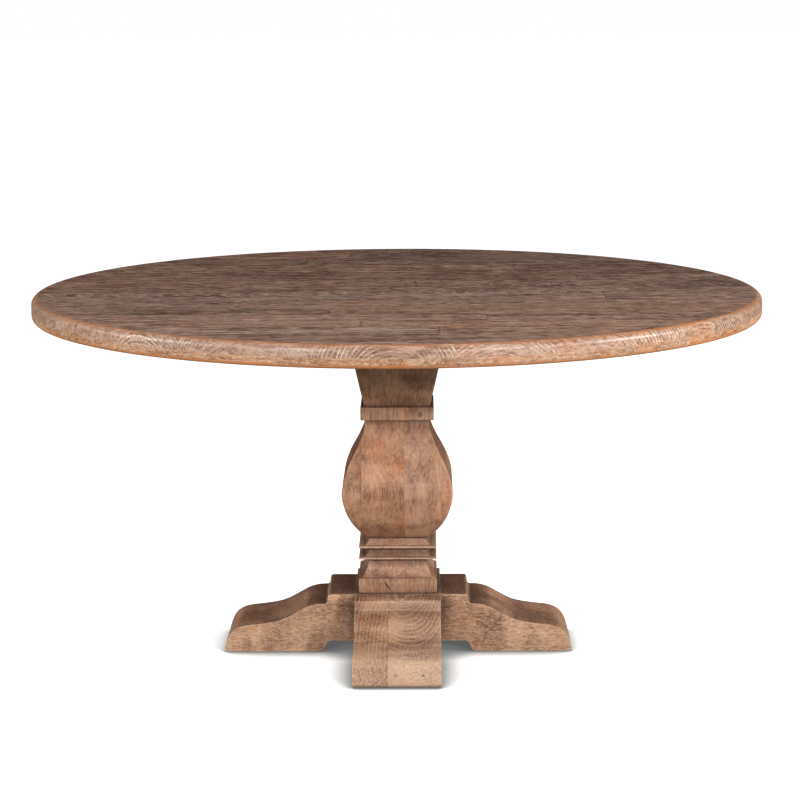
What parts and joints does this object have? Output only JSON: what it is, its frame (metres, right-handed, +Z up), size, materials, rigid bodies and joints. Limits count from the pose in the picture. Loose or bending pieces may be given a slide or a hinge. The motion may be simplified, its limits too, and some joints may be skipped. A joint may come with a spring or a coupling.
{
  "type": "round pedestal table",
  "caption": "Round solid-wood dining table on a square bulging pedestal column with a cross of ogee-shaped feet.",
  "frame": {"origin": "on the floor, at the centre of the leg cross and under the middle of the table top", "axes": "+Z up; X runs along the boards of the top and along the lower leg beam, Y along the upper leg beam"},
  "size_m": [1.524, 1.524, 0.762],
  "materials": {
    "top_wood": "dark weathered stain, satin wax",
    "rim_wood": "light worn stain, satin wax",
    "frame_wood": "sanded, thin stain",
    "column_wood": "reddish brown stain, satin wax",
    "leg_wood": "worn tan stain, satin wax",
    "zinc_steel": "zinc plated",
    "glide_nylon": "matte"
  },
  "bodies": {
    "root": {"base_moulding": "column_wood", "batten_left": "frame_wood", "batten_right": "frame_wood", "coach_screws": "zinc_steel", "collar": "column_wood", "foot_glides": "glide_nylon", "lower_beam_back_plank": "leg_wood", "lower_beam_front_plank": "leg_wood", "mounting_plate": "frame_wood", "neck": "column_wood", "neck_screws": "zinc_steel", "plinth": "column_wood", "rim_segment_1": "rim_wood", "rim_segment_2": "rim_wood", "rim_segment_3": "rim_wood", "rim_segment_4": "rim_wood", "rim_segment_5": "rim_wood", "rim_segment_6": "rim_wood", "rim_segment_7": "rim_wood", "rim_segment_8": "rim_wood", "rod_nuts": "zinc_steel", "rod_washers": "zinc_steel", "tie_rod": "zinc_steel", "top_board_01": "top_wood", "top_board_02_left": "top_wood", "top_board_02_right": "top_wood", "top_board_03_left": "top_wood", "top_board_03_right": "top_wood", "top_board_04_left": "top_wood", "top_board_04_right": "top_wood", "top_board_05_left": "top_wood", "top_board_05_right": "top_wood", "top_board_06_left": "top_wood", "top_board_06_right": "top_wood", "top_board_07_left": "top_wood", "top_board_07_right": "top_wood", "top_board_08_left": "top_wood", "top_board_08_right": "top_wood", "top_board_09_left": "top_wood", "top_board_09_right": "top_wood", "top_board_10_left": "top_wood", "top_board_10_right": "top_wood", "top_board_11_left": "top_wood", "top_board_11_right": "top_wood", "top_board_12_left": "top_wood", "top_board_12_right": "top_wood", "top_board_13_left": "top_wood", "top_board_13_right": "top_wood", "top_board_14_left": "top_wood", "top_board_14_right": "top_wood", "top_board_15": "top_wood", "top_screws": "zinc_steel", "upper_beam_left_plank": "leg_wood", "upper_beam_right_plank": "leg_wood", "vase_stave_1": "column_wood", "vase_stave_2": "column_wood", "vase_stave_3": "column_wood", "vase_stave_4": "column_wood", "vase_stave_5": "column_wood"}
  },
  "joints": []
}
